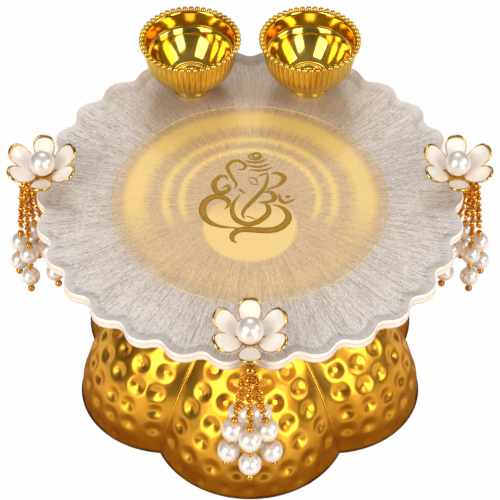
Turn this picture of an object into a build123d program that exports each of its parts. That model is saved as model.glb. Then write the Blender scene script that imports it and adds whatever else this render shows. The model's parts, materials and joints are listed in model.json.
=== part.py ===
"""Puja thali: a scalloped clear plate on a lobed, hammered foot.

Two fluted cups stand at the back of the plate, and three enamelled flowers on its rim
each carry a tassel of five chains with pearls.

Millimetres, +Z up. The origin is on the foot's axis, on the surface that it stands on,
and the front of the thali faces -Y.
"""

import os
from math import cos, radians, sin, sqrt

from build123d import *

# Foot
base_height = 110.0
base_wall = 1.8
base_deck = 1.6
lobe_count = 6
lobe_tip_radius = 91.5
lobe_crease_radius = 78.4
dome_height = 71.0
dome_shares = (0, 0.17, 0.33, 0.48, 0.6, 0.7, 0.79)
neck_lobe_depth = 3.0
neck_blend = 5.91
neck_profile = ((0, 50.3), (0.175, 46.0), (0.45, 43.5), (0.75, 44.5), (1, 48.0))
deck_flare = 8.0
deck_tip_radius = 54.0
deck_crease_radius = 51.0
deck_opening_radius = 34.0
front_angle = -90.0

# Cap and adhesive pads between the foot and the plate
cap_radius = 48.0
cap_thickness = 1.1
cap_step_radius = 20.0
cap_step_height = 0.3
pad_count = 6
pad_side = 11.0
pad_thickness = 0.5
pad_circle_radius = 37.0

# Plate
plate_radius = 100.0
scallop_count = 30
scallop_depth = 4.0
hump_share = 2 / 3
plate_thickness = 3.0
lip_width = 3.0
lip_rise = 3.7
lip_round = 0.8

# Inlay film
film_thickness = 0.4
film_gap = 0.15

# Cups
cup_offset_x = 29.5
cup_offset_y = 80.0
cup_height = 31.0
cup_foot_radius = 9.0
cup_foot_height = 4.0
cup_neck_radius = 8.0
cup_floor_height = 7.0
cup_well_radius = 9.0
cup_step_height = 21.0
cup_step_width = 1.0
cup_bore_radius = 21.6
cup_rim_radius = 23.4
flute_count = 48
flute_depth = 0.5
bowl_low_height = 6.5
bowl_low_radius = 13.5
bowl_mid_height = 14.0
bowl_mid_radius = 22.0
bead_rim_height = 3.0
bead_rim_bulge = 1.7
bead_rim_pinch = 0.7

# Flowers
flower_tilt = 20.0
flower_rise = 5.0
side_flower_angle = 4.5
side_flower_reach = 97.0
front_flower_reach = 88.0
hub_radius = 5.6
hub_depth = 1.2
hub_height = 2.0
pearl_seat_height = 1.2
petal_root = 5.0
side_petal_reach = 18.0
end_petal_reach = 15.6
petal_half_width = 4.3
petal_curl = 7.0
petal_pitch = 22.0
petal_thickness = 1.0
side_petal_angle = 28.0
enamel_thickness = 0.55
enamel_margin = 0.8
enamel_gap = 0.05

# Pearls
centre_pearl_radius = 5.9
strand_pearl_radius = 4.5
pearl_sides = 10
pearl_first_cut = 0.586
pearl_second_cut = 0.215
pearl_seat_gap = 0.3
peg_radius = 0.7
peg_length = 3.0
peg_clearance = 0.1

# Brackets that carry the flowers over the lip
pad_lip_clearance = 1.4
bracket_pad_radius = 3.6
bracket_pad_thickness = 1.0
bracket_post_radius = 1.8
arm_width = 7.0
arm_thickness = 1.0
arm_clearance = 0.7
bar_overhang = 5.0
bar_radius = 0.8
bar_end = 1.0

# Tassel hangers
eye_radius = 1.9
eye_width = 3.0
eye_clearance = 0.08
eye_side_gap = 0.25
eye_back_gap = 1.3
hanger_drop = 6.0
hanger_stem_radius = 0.6
ring_radius = 3.2
ring_wire = 0.9
ring_sides = 10

# Strands
strand_count = 5
strand_splay = 8.0
link_count = 9
link_pitch = 3.0
link_width = 2.6
link_wire = 0.6
link_gap = 0.05
hook_gap = 0.17
pin_radius = 0.5
pin_clearance = 0.12
bead_radius = 1.9
bead_height = 4.0
bead_cut = 1.0
spacer_height = 2.4
spacer_radius = 1.4
bead_sides = 6
stack_gap = 0.05

# Heights worked out from the sizes above
neck_low = dome_shares[-1] * dome_height + neck_blend
neck_high = base_height - deck_flare
cap_top = base_height + cap_thickness
plate_underside = cap_top + pad_thickness
field_top = plate_underside + plate_thickness
film_top = field_top + film_thickness
lip_top = field_top + lip_rise
arm_underside = lip_top + arm_clearance
arm_top = arm_underside + arm_thickness
bar_height = arm_underside + arm_thickness / 2
flower_height = lip_top + flower_rise
ring_height = bar_height - hanger_drop

# Reaches worked out from the sizes above
bar_reach = plate_radius + bar_overhang
lip_inner_radius = plate_radius - scallop_depth - lip_width
bracket_pad_reach = lip_inner_radius - pad_lip_clearance - bracket_pad_radius

# Angles and link sizes worked out from the sizes above
lobe_pitch = 360 / lobe_count
scallop_pitch = 360 / scallop_count
hump_half_angle = hump_share * scallop_pitch / 2
scallop_turn = hump_share * scallop_depth
link_length = link_pitch + 2 * link_wire + link_gap
centre_pearl_height = pearl_seat_height + centre_pearl_radius

# Flower name, its angle round the plate, and how far out it sits
flowers = (
    ("left", 180 - side_flower_angle, side_flower_reach),
    ("right", side_flower_angle, side_flower_reach),
    ("front", front_angle, front_flower_reach),
)


def polar(radius, angle):
    """A point in plan at a radius and an angle in degrees."""
    return (radius * cos(radians(angle)), radius * sin(radians(angle)))


def radial_plane(angle):
    """The ground plane turned so that its X runs outwards at an angle."""
    return Plane(origin=(0, 0, 0), x_dir=(*polar(1, angle), 0), z_dir=(0, 0, 1))


def save(piece, name):
    """Label a finished piece and write it under its own name."""
    piece.label = name
    export_step(piece, f"parts/{name}.step")


def foot_sections(top):
    """Height, tip radius and crease radius of the foot's sections, up to a top."""
    rows = []
    for share in dome_shares:
        narrowing = sqrt(1 - share**2)
        rows.append((share * dome_height, lobe_tip_radius * narrowing, lobe_crease_radius * narrowing))
    for share, radius in neck_profile:
        height = neck_low + share * (neck_high - neck_low)
        rows.append((height, radius, radius - neck_lobe_depth))
    rows.append((top, deck_tip_radius, deck_crease_radius))
    return rows


def lobed_outline(tip, crease):
    """Lobes in plan: arcs over the tips that meet at the creases."""
    for lobe in range(lobe_count):
        middle = front_angle + lobe * lobe_pitch
        ThreePointArc(
            polar(crease, middle - lobe_pitch / 2),
            polar(tip, middle),
            polar(crease, middle + lobe_pitch / 2),
        )


def scalloped_outline(tip):
    """Scallops in plan: a wide hump arc and a short valley arc, in turn."""
    turn = tip - scallop_turn
    for scallop in range(scallop_count):
        hump = scallop * scallop_pitch
        valley = hump + scallop_pitch / 2
        hump_end = hump + hump_half_angle
        next_hump_start = hump + scallop_pitch - hump_half_angle
        ThreePointArc(polar(turn, hump - hump_half_angle), polar(tip, hump), polar(turn, hump_end))
        ThreePointArc(
            polar(turn, hump_end),
            polar(tip - scallop_depth, valley),
            polar(turn, next_hump_start),
        )


def fluted_outline(crest, depth):
    """A ring of flutes in plan: crests and grooves in turn."""
    step = 360 / (2 * flute_count)
    radii = (crest, crest - depth)
    return [polar(radii[corner % 2], corner * step) for corner in range(2 * flute_count)]


def fluted_section(height, crest, depth):
    """One closed fluted section at a height, ready to loft."""
    with BuildSketch(Plane.XY.offset(height)) as section:
        with BuildLine():
            Polyline(*fluted_outline(crest, depth), close=True)
        make_face()
    return section


def petal_cup(reach, margin, under_radius, over_radius):
    """One trough-shaped petal along +X: a slice of a round wall inside an ellipse."""
    middle = (petal_root + reach) / 2
    half_length = (reach - petal_root) / 2
    with BuildPart() as petal:
        with BuildSketch():
            with Locations((middle, 0)):
                Ellipse(half_length - margin, petal_half_width - margin)
        extrude(amount=petal_curl)
        with BuildSketch(Plane.YZ):
            with Locations((0, petal_curl)):
                Circle(under_radius)
                Circle(over_radius, mode=Mode.SUBTRACT)
        extrude(amount=reach, mode=Mode.INTERSECT)
    return petal.part


def petal_ring(margin, under_radius, over_radius):
    """Six petals and the turn of each: one each way front and back, four to the sides."""
    side = petal_cup(side_petal_reach, margin, under_radius, over_radius)
    end = petal_cup(end_petal_reach, margin, under_radius, over_radius)
    turns = [(end, 90), (end, -90)]
    for angle in (side_petal_angle, -side_petal_angle):
        turns += [(side, angle), (side, 180 - angle)]
    return [(petal, Rotation(0, 0, turn) * Rotation(0, -petal_pitch, 0)) for petal, turn in turns]


def faceted_pearl(radius):
    """A pearl with flat faces: a prism with its end edges cut back twice, to near round."""
    with BuildPart() as ball:
        with BuildSketch(Plane.XY.offset(-radius)):
            RegularPolygon(radius, pearl_sides, major_radius=False)
        extrude(amount=2 * radius)
        levels = ball.edges().group_by(Axis.Z)
        chamfer(levels[0] + levels[-1], pearl_first_cut * radius)
        levels = ball.edges().group_by(Axis.Z)
        chamfer(levels[0] + levels[2] + levels[-3] + levels[-1], pearl_second_cut * radius)
    return ball.part


def bead(top, height, radius):
    """A barrel bead with flat faces for the pin, from its top face down."""
    with BuildPart() as barrel:
        with BuildSketch(Plane.XY.offset(top - height)):
            RegularPolygon(radius, bead_sides)
        extrude(amount=height)
        levels = barrel.edges().group_by(Axis.Z)
        chamfer(levels[0] + levels[-1], bead_cut * radius / bead_radius)
    return barrel.part


def link(centre, turn):
    """One flat-faced chain link standing upright, turned about the strand."""
    facing = (*polar(1, turn), 0)
    with BuildPart() as ring:
        with BuildSketch(Plane(origin=(0, 0, centre), x_dir=facing, z_dir=(facing[1], -facing[0], 0))):
            Rectangle(link_width, link_length)
            Rectangle(link_width - 2 * link_wire, link_length - 2 * link_wire, mode=Mode.SUBTRACT)
        extrude(amount=link_wire / 2, both=True)
    return ring.part


os.makedirs("parts", exist_ok=True)

# Foot: a lobed dome under a waisted neck, open below, with a flat deck on top
with BuildPart() as base_shell:
    for height, tip, crease in foot_sections(base_height):
        with BuildSketch(Plane.XY.offset(height)):
            with BuildLine():
                lobed_outline(tip, crease)
            make_face()
    loft(ruled=True)
    for height, tip, crease in foot_sections(base_height - base_deck):
        with BuildSketch(Plane.XY.offset(height)):
            with BuildLine():
                lobed_outline(tip - base_wall, crease - base_wall)
            make_face()
    loft(ruled=True, mode=Mode.SUBTRACT)
    with Locations((0, 0, base_height)):
        Hole(deck_opening_radius, depth=2 * base_deck)
save(base_shell.part, "base_shell")

# Spun cap that closes the foot's deck, with a raised middle
with BuildPart() as base_cap:
    with BuildSketch(Plane.XY.offset(base_height)):
        Circle(cap_radius)
    extrude(amount=cap_thickness)
    with BuildSketch(Plane.XY.offset(cap_top)):
        Circle(cap_step_radius)
    extrude(amount=cap_step_height)
save(base_cap.part, "base_cap")

# Double-sided pads that hold the plate on the cap
with BuildPart() as adhesive_pads:
    with BuildSketch(Plane.XY.offset(cap_top)):
        with PolarLocations(pad_circle_radius, pad_count):
            Rectangle(pad_side, pad_side)
    extrude(amount=pad_thickness)
save(adhesive_pads.part, "adhesive_pads")

# Clear plate with a scalloped, raised lip
with BuildPart() as plate:
    with BuildSketch(Plane.XY.offset(plate_underside)):
        with BuildLine():
            scalloped_outline(plate_radius)
        make_face()
    extrude(amount=plate_thickness + lip_rise)
    chamfer(plate.edges().group_by(Axis.Z)[-1], lip_round)
    with BuildSketch(Plane.XY.offset(field_top)):
        with BuildLine():
            scalloped_outline(plate_radius - lip_width)
        make_face()
    extrude(amount=lip_rise, mode=Mode.SUBTRACT)
save(plate.part, "plate")

# Fibre film laid inside the lip
with BuildPart() as inlay_film:
    with BuildSketch(Plane.XY.offset(field_top)):
        with BuildLine():
            scalloped_outline(plate_radius - lip_width - film_gap)
        make_face()
    extrude(amount=film_thickness)
save(inlay_film.part, "inlay_film")

# Fluted cups and the beaded rims soldered on them
bead_rim_base = cup_height - bead_rim_height
bowl_sections = (
    (bowl_low_height, bowl_low_radius),
    (bowl_mid_height, bowl_mid_radius),
    (bead_rim_base, cup_rim_radius),
)
bead_sections = (
    (bead_rim_base, 0, 0),
    (bead_rim_base + bead_rim_height / 2, bead_rim_bulge, bead_rim_bulge - bead_rim_pinch),
    (cup_height, bead_rim_pinch, 0),
)
for side, cup_x in (("left", -cup_offset_x), ("right", cup_offset_x)):
    cup_plane = Plane(origin=(cup_x, cup_offset_y, film_top))
    with BuildPart() as cup_form:
        for height, crest in bowl_sections:
            add(fluted_section(height, crest, flute_depth).sketch)
        loft(ruled=True)
        with BuildSketch(Plane.XZ):
            with BuildLine():
                Polyline(
                    (0, 0),
                    (cup_foot_radius, 0),
                    (cup_neck_radius, cup_foot_height),
                    (bowl_low_radius - flute_depth, bowl_low_height),
                    (0, bowl_low_height),
                    close=True,
                )
            make_face()
        revolve(axis=Axis.Z)
        with BuildSketch(Plane.XZ):
            with BuildLine():
                Polyline(
                    (0, cup_floor_height),
                    (cup_well_radius, cup_floor_height),
                    (cup_bore_radius - cup_step_width, cup_step_height),
                    (cup_bore_radius, cup_step_height),
                    (cup_bore_radius, cup_height),
                    (0, cup_height),
                    close=True,
                )
            make_face()
        revolve(axis=Axis.Z, mode=Mode.SUBTRACT)
    with BuildPart(cup_plane) as cup_bowl:
        add(cup_form.part)
    save(cup_bowl.part, f"cup_{side}_bowl")

    with BuildPart() as rim_form:
        for height, bulge, pinch in bead_sections:
            add(fluted_section(height, cup_rim_radius + bulge, bulge - pinch + flute_depth).sketch)
        loft(ruled=True)
        with Locations((0, 0, cup_height)):
            Hole(cup_bore_radius)
    with BuildPart(cup_plane) as cup_rim:
        add(rim_form.part)
    save(cup_rim.part, f"cup_{side}_bead_rim")

# Patterns for the flowers, drawn on the origin and facing up
gold_ring = petal_ring(0, petal_curl, petal_curl - petal_thickness)
enamel_under = petal_curl - petal_thickness - enamel_gap
enamel_ring = petal_ring(enamel_margin, enamel_under, enamel_under - enamel_thickness)
with BuildPart() as petals_form:
    for petal, turn in gold_ring:
        with Locations(turn):
            add(petal)
    with Locations((0, 0, -hub_depth)):
        Cylinder(hub_radius, hub_depth + hub_height, align=(Align.CENTER, Align.CENTER, Align.MIN))
    with Locations((0, 0, centre_pearl_height)):
        Sphere(centre_pearl_radius + pearl_seat_gap, mode=Mode.SUBTRACT)
    Cylinder(
        peg_radius, pearl_seat_height + peg_length, align=(Align.CENTER, Align.CENTER, Align.MIN)
    )

with BuildPart() as enamel_form:
    for petal, turn in enamel_ring:
        with Locations(turn):
            add(petal)
    with Locations((0, 0, centre_pearl_height)):
        Sphere(centre_pearl_radius + pearl_seat_gap, mode=Mode.SUBTRACT)

with BuildPart() as centre_pearl_form:
    add(faceted_pearl(centre_pearl_radius))
    with Locations((0, 0, -centre_pearl_radius)):
        Cylinder(
            peg_radius + peg_clearance,
            peg_length + peg_clearance,
            align=(Align.CENTER, Align.CENTER, Align.MIN),
            mode=Mode.SUBTRACT,
        )

# Patterns for a strand, hanging straight down from the ring's wire at the origin
first_link = -(link_length / 2 - link_wire - ring_wire / 2 - hook_gap)
with BuildPart() as chain_form:
    for place in range(link_count):
        add(link(first_link - place * link_pitch, 90 * (place % 2)))

loop_centre = first_link - link_count * link_pitch
loop_bottom = loop_centre - link_length / 2
pearl_bore_radius = pin_radius + pin_clearance
upper_pearl = loop_bottom - bead_height - stack_gap - strand_pearl_radius
middle_bead = upper_pearl - strand_pearl_radius - stack_gap
lower_pearl = middle_bead - bead_height - stack_gap - strand_pearl_radius
spacer_top = lower_pearl - strand_pearl_radius - stack_gap
tip_bead = spacer_top - spacer_height
with BuildPart() as pin_form:
    add(link(loop_centre, 90 * (link_count % 2)))
    with BuildSketch(Plane.XY.offset(loop_bottom + link_wire / 2)):
        RegularPolygon(pin_radius, bead_sides)
    extrude(amount=tip_bead - loop_bottom - link_wire / 2 - bead_height / 2)
    add(bead(loop_bottom, bead_height, bead_radius))
    add(bead(middle_bead, bead_height, bead_radius))
    add(bead(spacer_top, spacer_height, spacer_radius))
    add(bead(tip_bead, bead_height, bead_radius))

with BuildPart() as strand_pearl_form:
    add(faceted_pearl(strand_pearl_radius))
    Cylinder(pearl_bore_radius, 2 * strand_pearl_radius, mode=Mode.SUBTRACT)

# The three flowers with their brackets, and the tassels under them
for name, angle, reach in flowers:
    outward = radial_plane(angle)
    flower_plane = Plane(
        origin=(*polar(reach, angle), flower_height),
        x_dir=(1, 0, 0),
        z_dir=(0, -sin(radians(flower_tilt)), cos(radians(flower_tilt))),
    )

    with BuildPart(flower_plane) as petals:
        add(petals_form.part)
    save(petals.part, f"flower_{name}_petals")

    with BuildPart(flower_plane) as enamel:
        add(enamel_form.part)
    save(enamel.part, f"flower_{name}_enamel")

    with BuildPart(flower_plane.offset(centre_pearl_height)) as centre_pearl:
        add(centre_pearl_form.part)
    save(centre_pearl.part, f"flower_{name}_pearl")

    # Bracket: a glued pad, a post, an arm over the lip and a bar for the tassel
    with BuildPart() as bracket:
        with BuildSketch(outward.offset(film_top)):
            with Locations((bracket_pad_reach, 0)):
                Circle(bracket_pad_radius)
        extrude(amount=bracket_pad_thickness)
        with BuildSketch(outward.offset(film_top)):
            with Locations((bracket_pad_reach, 0)):
                Circle(bracket_post_radius)
        extrude(amount=arm_top - film_top)
        with BuildSketch(outward.offset(arm_top)):
            with Locations((reach, 0)):
                Circle(bracket_post_radius)
        extrude(amount=2 * flower_rise)
        split(bisect_by=flower_plane.offset(-hub_depth), keep=Keep.BOTTOM)
        arm_end = bar_reach + bar_end
        with BuildSketch(outward.offset(arm_underside)):
            with Locations((bracket_pad_reach - bracket_post_radius, 0)):
                Rectangle(
                    arm_end - bracket_pad_reach + bracket_post_radius,
                    arm_width,
                    align=(Align.MIN, Align.CENTER),
                )
            with Locations((bar_reach - eye_radius - eye_back_gap, 0)):
                Rectangle(
                    arm_width,
                    eye_width + 2 * eye_side_gap,
                    align=(Align.MIN, Align.CENTER),
                    mode=Mode.SUBTRACT,
                )
        extrude(amount=arm_thickness)
        bar_plane = Plane(
            origin=(*polar(bar_reach, angle), bar_height),
            x_dir=(0, 0, 1),
            z_dir=outward.y_dir,
        )
        with BuildSketch(bar_plane):
            Circle(bar_radius)
        extrude(amount=arm_width / 2, both=True)
    save(bracket.part, f"flower_{name}_bracket")

    # Hanger: an eye on the bar, a stem, and a ring with spokes between the strands
    ring_centre = (*polar(bar_reach, angle), ring_height)
    ring_plane = Plane(origin=ring_centre, x_dir=outward.x_dir, z_dir=(0, 0, 1))
    with BuildPart() as hanger:
        with BuildSketch(ring_plane):
            Circle(hanger_stem_radius)
        extrude(amount=hanger_drop)
        with BuildSketch(bar_plane):
            Circle(eye_radius)
        extrude(amount=eye_width / 2, both=True)
        with BuildSketch(bar_plane):
            Circle(bar_radius + eye_clearance)
        extrude(amount=eye_width, both=True, mode=Mode.SUBTRACT)
        with BuildSketch(ring_plane):
            RegularPolygon(
                ring_radius + ring_wire / 2, ring_sides, major_radius=False, rotation=180 / ring_sides
            )
            RegularPolygon(
                ring_radius - ring_wire / 2,
                ring_sides,
                major_radius=False,
                rotation=180 / ring_sides,
                mode=Mode.SUBTRACT,
            )
            with PolarLocations(ring_radius / 2, strand_count, start_angle=180 / strand_count):
                Rectangle(ring_radius, ring_wire)
        extrude(amount=ring_wire / 2, both=True)
    save(hanger.part, f"tassel_{name}_hanger")

    # Five strands, the first one outwards, each leaning out from the ring
    for strand in range(strand_count):
        bearing = angle + strand * 360 / strand_count
        lean = radians(strand_splay)
        out = polar(1, bearing)
        strand_plane = Plane(
            origin=(
                ring_centre[0] + ring_radius * out[0],
                ring_centre[1] + ring_radius * out[1],
                ring_height,
            ),
            x_dir=(cos(lean) * out[0], cos(lean) * out[1], sin(lean)),
            z_dir=(-sin(lean) * out[0], -sin(lean) * out[1], cos(lean)),
        )
        with BuildPart(strand_plane) as chain:
            add(chain_form.part)
            add(pin_form.part)
        save(chain.part, f"tassel_{name}_chain_{strand + 1}")

        with BuildPart(strand_plane) as strand_pearls:
            with Locations((0, 0, upper_pearl), (0, 0, lower_pearl)):
                add(strand_pearl_form.part)
        save(strand_pearls.part, f"tassel_{name}_pearls_{strand + 1}")
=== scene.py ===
"""Looks of a puja thali, built round its packed frame and run as a script.

A hammered gold foot carries a clear scalloped plate with a fibre inlay and a foil figure.
Two fluted cups stand at the back, and three enamelled flowers carry pearl tassels.
Every piece is in metres, in the frame's own place, with +Z up and the front towards -Y.
"""

import json
from math import atan2, ceil, cos, pi, radians, sin, sqrt, tau

import bmesh
import bpy
import numpy as np
from bpy.props import FloatProperty, FloatVectorProperty, IntProperty, PointerProperty
from bpy.types import Operator, Panel, PropertyGroup
from mathutils import Matrix, Vector


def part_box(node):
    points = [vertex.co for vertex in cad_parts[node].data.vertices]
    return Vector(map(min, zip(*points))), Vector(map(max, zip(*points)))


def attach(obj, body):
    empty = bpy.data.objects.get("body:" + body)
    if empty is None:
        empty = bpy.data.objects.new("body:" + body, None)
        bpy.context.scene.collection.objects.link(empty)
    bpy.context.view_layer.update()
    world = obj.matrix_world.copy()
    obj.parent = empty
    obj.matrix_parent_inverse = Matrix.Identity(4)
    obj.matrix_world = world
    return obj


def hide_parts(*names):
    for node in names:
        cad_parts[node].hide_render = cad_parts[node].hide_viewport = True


bl_info = {
    "name": "Puja Thali",
    "version": (1, 0, 0),
    "blender": (4, 5, 0),
    "location": "3D View > Sidebar > Thali",
    "description": "Builds the looks of a footed ritual tray with cups, flowers and tassels",
    "category": "Object",
}

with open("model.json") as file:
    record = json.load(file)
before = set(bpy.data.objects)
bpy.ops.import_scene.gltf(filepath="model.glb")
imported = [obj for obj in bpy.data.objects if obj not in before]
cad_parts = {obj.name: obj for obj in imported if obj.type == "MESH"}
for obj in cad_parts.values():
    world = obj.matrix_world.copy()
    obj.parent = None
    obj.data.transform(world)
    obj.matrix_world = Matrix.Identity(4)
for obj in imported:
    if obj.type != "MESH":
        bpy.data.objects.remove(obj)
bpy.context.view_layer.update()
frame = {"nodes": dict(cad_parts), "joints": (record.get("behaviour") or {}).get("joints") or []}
MM = 0.001
BODY = "thali"

# Places read from the frame
FOOT_LOW, FOOT_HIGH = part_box("base_shell")
PLATE_LOW, PLATE_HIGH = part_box("plate")
FILM_LOW, FILM_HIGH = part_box("inlay_film")
JOINTS = {joint["name"]: joint for joint in frame["joints"]}
CUP_SIDES = ("left", "right")
FLOWER_NAMES = ("left", "right", "front")
STRAND_COUNT = 5


def length(name, description, default):
    """A property for a length in metres."""
    return FloatProperty(name=name, description=description, default=default, unit="LENGTH", precision=5)


def angle(name, description, default):
    """A property for an angle, given in degrees."""
    return FloatProperty(name=name, description=description, default=radians(default), subtype="ANGLE")


def number(name, description, default):
    """A property for a plain number."""
    return FloatProperty(name=name, description=description, default=default)


def count(name, description, default):
    """A property for a count."""
    return IntProperty(name=name, description=description, default=default, min=1)


def colour(name, description, default):
    """A property for a linear colour."""
    return FloatVectorProperty(
        name=name, description=description, default=default, size=3, min=0, max=1, subtype="COLOR"
    )


class FootSettings(PropertyGroup):
    """Sizes and colour of the hammered foot."""

    lobes: count("Lobes", "Lobes round the foot", 6)
    crease_radius: length("Crease radius", "Radius at the creases, on the ground", 0.0784)
    front_spread: angle("Front spread", "How far the front creases stand apart at the floor", 5.2)
    front_gather: angle("Front gather", "How far the front creases close up at the neck", -2.6)
    dome_height: length("Dome height", "Height at which the dome would close", 0.071)
    neck_lobe: length("Neck lobe", "How far a lobe stands out at the neck", 0.003)
    deck_tip: length("Deck tip", "Radius of a lobe's middle at the deck", 0.054)
    wall: length("Wall", "Thickness of the sheet", 0.0018)
    deck_opening: length("Deck opening", "Radius of the hole in the deck", 0.034)
    dent_radius: length("Dent radius", "Radius of a hammer dent", 0.0054)
    dent_depth: length("Dent depth", "Depth of a hammer dent", 0.0015)
    dent_lip: length("Dent lip", "Height of the raised edge round a dent", 0.00004)
    dent_pitch: length("Dent pitch", "Distance from dent to dent along a row", 0.0126)
    row_pitch: length("Row pitch", "Distance from row to row", 0.0110)
    crease_border: length("Crease border", "Smooth border beside a crease", 0.0062)
    welt_width: length("Welt width", "Width of the double line in a crease", 0.0030)
    gold: colour("Gold", "Colour of the hammered gold", (0.90, 0.45, 0.04))


class PlateSettings(PropertyGroup):
    """Sizes and colours of the clear plate and its inlay."""

    scallops: count("Scallops", "Scallops round the edge", 30)
    scallop_depth: length("Scallop depth", "Depth from hump to valley", 0.004)
    back_swell: length("Back swell", "How much further the edge reaches behind the side flowers", 0.0046)
    lip_width: length("Lip width", "Width of the raised lip", 0.003)
    film_inset: length("Film inset", "Distance from the plate's edge to the film's", 0.0008)
    film_climb: length("Film climb", "Width over which the film climbs the lip", 0.0062)
    crest_drop: length("Crest drop", "How far the film's crest lies under the plate's top", 0.0013)
    resin: colour("Resin", "Colour of the cast resin edge", (0.90, 0.80, 0.69))
    silver: colour("Silver", "Light fibres of the inlay", (0.82, 0.75, 0.69))
    shade: colour("Shade", "Dark fibres of the inlay", (0.34, 0.27, 0.22))
    glow: colour("Glow", "Gold of the inlay's middle", (0.93, 0.66, 0.21))
    disc_radius: length("Disc radius", "Radius of the bright disc under the figure", 0.0215)
    disc_drop: length("Disc drop", "How far the bright disc lies in front of the plate's centre", 0.0185)
    circle_radius: length("Circle radius", "Radius of the foil circle", 0.0643)
    circle_width: length("Circle width", "Width of the foil circle", 0.00075)
    foil: colour("Foil", "Colour of the foil figure", (0.42, 0.21, 0.006))
    foil_height: length("Foil height", "Height of the foil over the inlay", 0.00018)


class CupSettings(PropertyGroup):
    """Sizes and colour of the two cups."""

    flutes: count("Flutes", "Ribs round a cup", 48)
    flute_depth: length("Flute depth", "Depth of the grooves between ribs", 0.0011)
    bead_radius: length("Bead radius", "Radius of a rim bead", 0.00148)
    rim_radius: length("Rim radius", "Radius of the circle of rim beads", 0.0238)
    gold: colour("Gold", "Colour of the polished gold", (0.97, 0.66, 0.11))


class FlowerSettings(PropertyGroup):
    """Sizes and colours of the flowers."""

    tilt: angle("Tilt", "Lean of a flower towards the front", 16)
    root: length("Root", "Distance from the centre to a petal's root", 0.0040)
    side_reach: length("Side reach", "Length of a side petal from the centre", 0.0178)
    end_reach: length("End reach", "Length of the front and back petals", 0.0158)
    half_width: length("Half width", "Half of a petal's width", 0.0048)
    side_angle: angle("Side angle", "Turn of the side petals from the cross line", 25)
    pitch: angle("Pitch", "Rise of a petal at its root", 30)
    curl: number("Curl", "How much a petal curls up towards its tip", 0.14)
    cupping: length("Cupping", "How far a petal's long edges rise", 0.0014)
    rim: length("Rim", "Radius of the gold rim at a petal's root", 0.00020)
    pearl_radius: length("Pearl radius", "Radius of the centre pearl", 0.0059)
    pearl_height: length("Pearl height", "Height of the pearl's centre over the hub", 0.0071)
    side_back: length("Side back", "How far a side flower sits behind its pearl's place", 0.0026)
    front_out: length("Front out", "How far the front flower sits before its place", 0.0018)
    arm_radius: length("Arm radius", "Radius of the arm under a flower", 0.0010)
    post_radius: length("Post radius", "Radius of the arm's posts", 0.0017)
    bar_radius: length("Bar radius", "Radius of the bar that a tassel hangs on", 0.0008)
    bar_half: length("Bar half", "Half of the bar's length", 0.0022)
    fork_radius: length("Fork radius", "Radius of the two wires that hold the bar", 0.0006)
    fork_half: length("Fork half", "Half of the distance between these wires", 0.0013)
    gold: colour("Gold", "Colour of the petals' gold", (0.86, 0.56, 0.15))
    enamel: colour("Enamel", "Colour of the enamel", (0.88, 0.82, 0.75))
    pearl: colour("Pearl", "Colour of the pearls", (0.96, 0.90, 0.82))


class TasselSettings(PropertyGroup):
    """Sizes of the hangers and strands, measured down a strand from its ring."""

    lean: angle("Lean", "Lean of a strand out from its ring", 8)
    links: count("Links", "Links on a strand", 18)
    stub_links: count("Stub links", "Links from the ring up to the eye", 4)
    link_pitch: length("Link pitch", "Distance from link to link", 0.0016)
    link_length: length("Link length", "Length of a link", 0.0029)
    link_width: length("Link width", "Width of a link", 0.0036)
    link_wire: length("Link wire", "Thickness of a link's wire", 0.00115)
    link_turn: angle("Link turn", "Turn from link to link", 72)
    pearl_radius: length("Pearl radius", "Radius of a side tassel's strung pearl", 0.0046)
    front_pearl: length("Front pearl", "Radius of the front tassel's strung pearl", 0.0052)
    front_lift: count("Front lift", "Links that the front strands are shorter by", 3)
    bead_radius: length("Bead radius", "Radius of a gold bead", 0.0017)
    upper_pearl: length("Upper pearl", "Distance down to the upper pearl", 0.03858)
    ring_radius: length("Ring radius", "Radius of the hanger's ring", 0.0032)
    ring_wire: length("Ring wire", "Thickness of the hanger's wire", 0.0009)
    stem_radius: length("Stem radius", "Radius of the hanger's stem", 0.0006)
    eye_outer: length("Eye outer", "Outer radius of the hanger's eye", 0.0019)
    eye_inner: length("Eye inner", "Inner radius of the hanger's eye", 0.0009)
    eye_half: length("Eye half", "Half of the eye's width", 0.0015)
    eye_bevel: length("Eye bevel", "Bevel on the eye's edges", 0.00025)
    pin_radius: length("Pin radius", "Radius of a strand's head pin", 0.00045)
    gold: colour("Gold", "Colour of the chains' gold", (0.86, 0.42, 0.05))


class StageSettings(PropertyGroup):
    """Camera, floor and lamps."""

    distance: length("Distance", "Distance from the camera to its target", 0.70)
    elevation: angle("Elevation", "Camera height over the horizon", 47.6)
    target_height: length("Target height", "Height of the point that the camera looks at", 0.0788)
    lens: number("Lens", "Focal length in millimetres on a 36 mm sensor", 103.4)
    floor: colour("Floor", "Colour of the floor", (0.90, 0.90, 0.90))


class Field:
    """A value in a node tree, so that maths on it reads as Python."""

    def __init__(self, nodes, socket):
        self.nodes = nodes
        self.socket = socket

    def math(self, operation, *values):
        sockets = dict(enumerate(values))
        return self.nodes.value("ShaderNodeMath", {"operation": operation}, sockets)

    def __add__(self, other):
        return self.math("ADD", self, other)

    def __sub__(self, other):
        return self.math("SUBTRACT", self, other)

    def __mul__(self, other):
        return self.math("MULTIPLY", self, other)

    def __truediv__(self, other):
        return self.math("DIVIDE", self, other)

    def __pow__(self, other):
        return self.math("POWER", self, other)

    def __rsub__(self, other):
        return self.math("SUBTRACT", other, self)

    __radd__ = __add__
    __rmul__ = __mul__

    def step(self, low, high):
        """0 at low, 1 at high, smooth between them."""
        settings = {"interpolation_type": "SMOOTHSTEP"}
        return self.nodes.value(
            "ShaderNodeMapRange", settings, {"Value": self, "From Min": low, "From Max": high}
        )

    def band(self, middle, half_width):
        """1 on a middle value, falling to 0 at a half width either side."""
        gap = self - middle
        return gap.math("ABSOLUTE", gap).step(half_width, 0)


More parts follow.
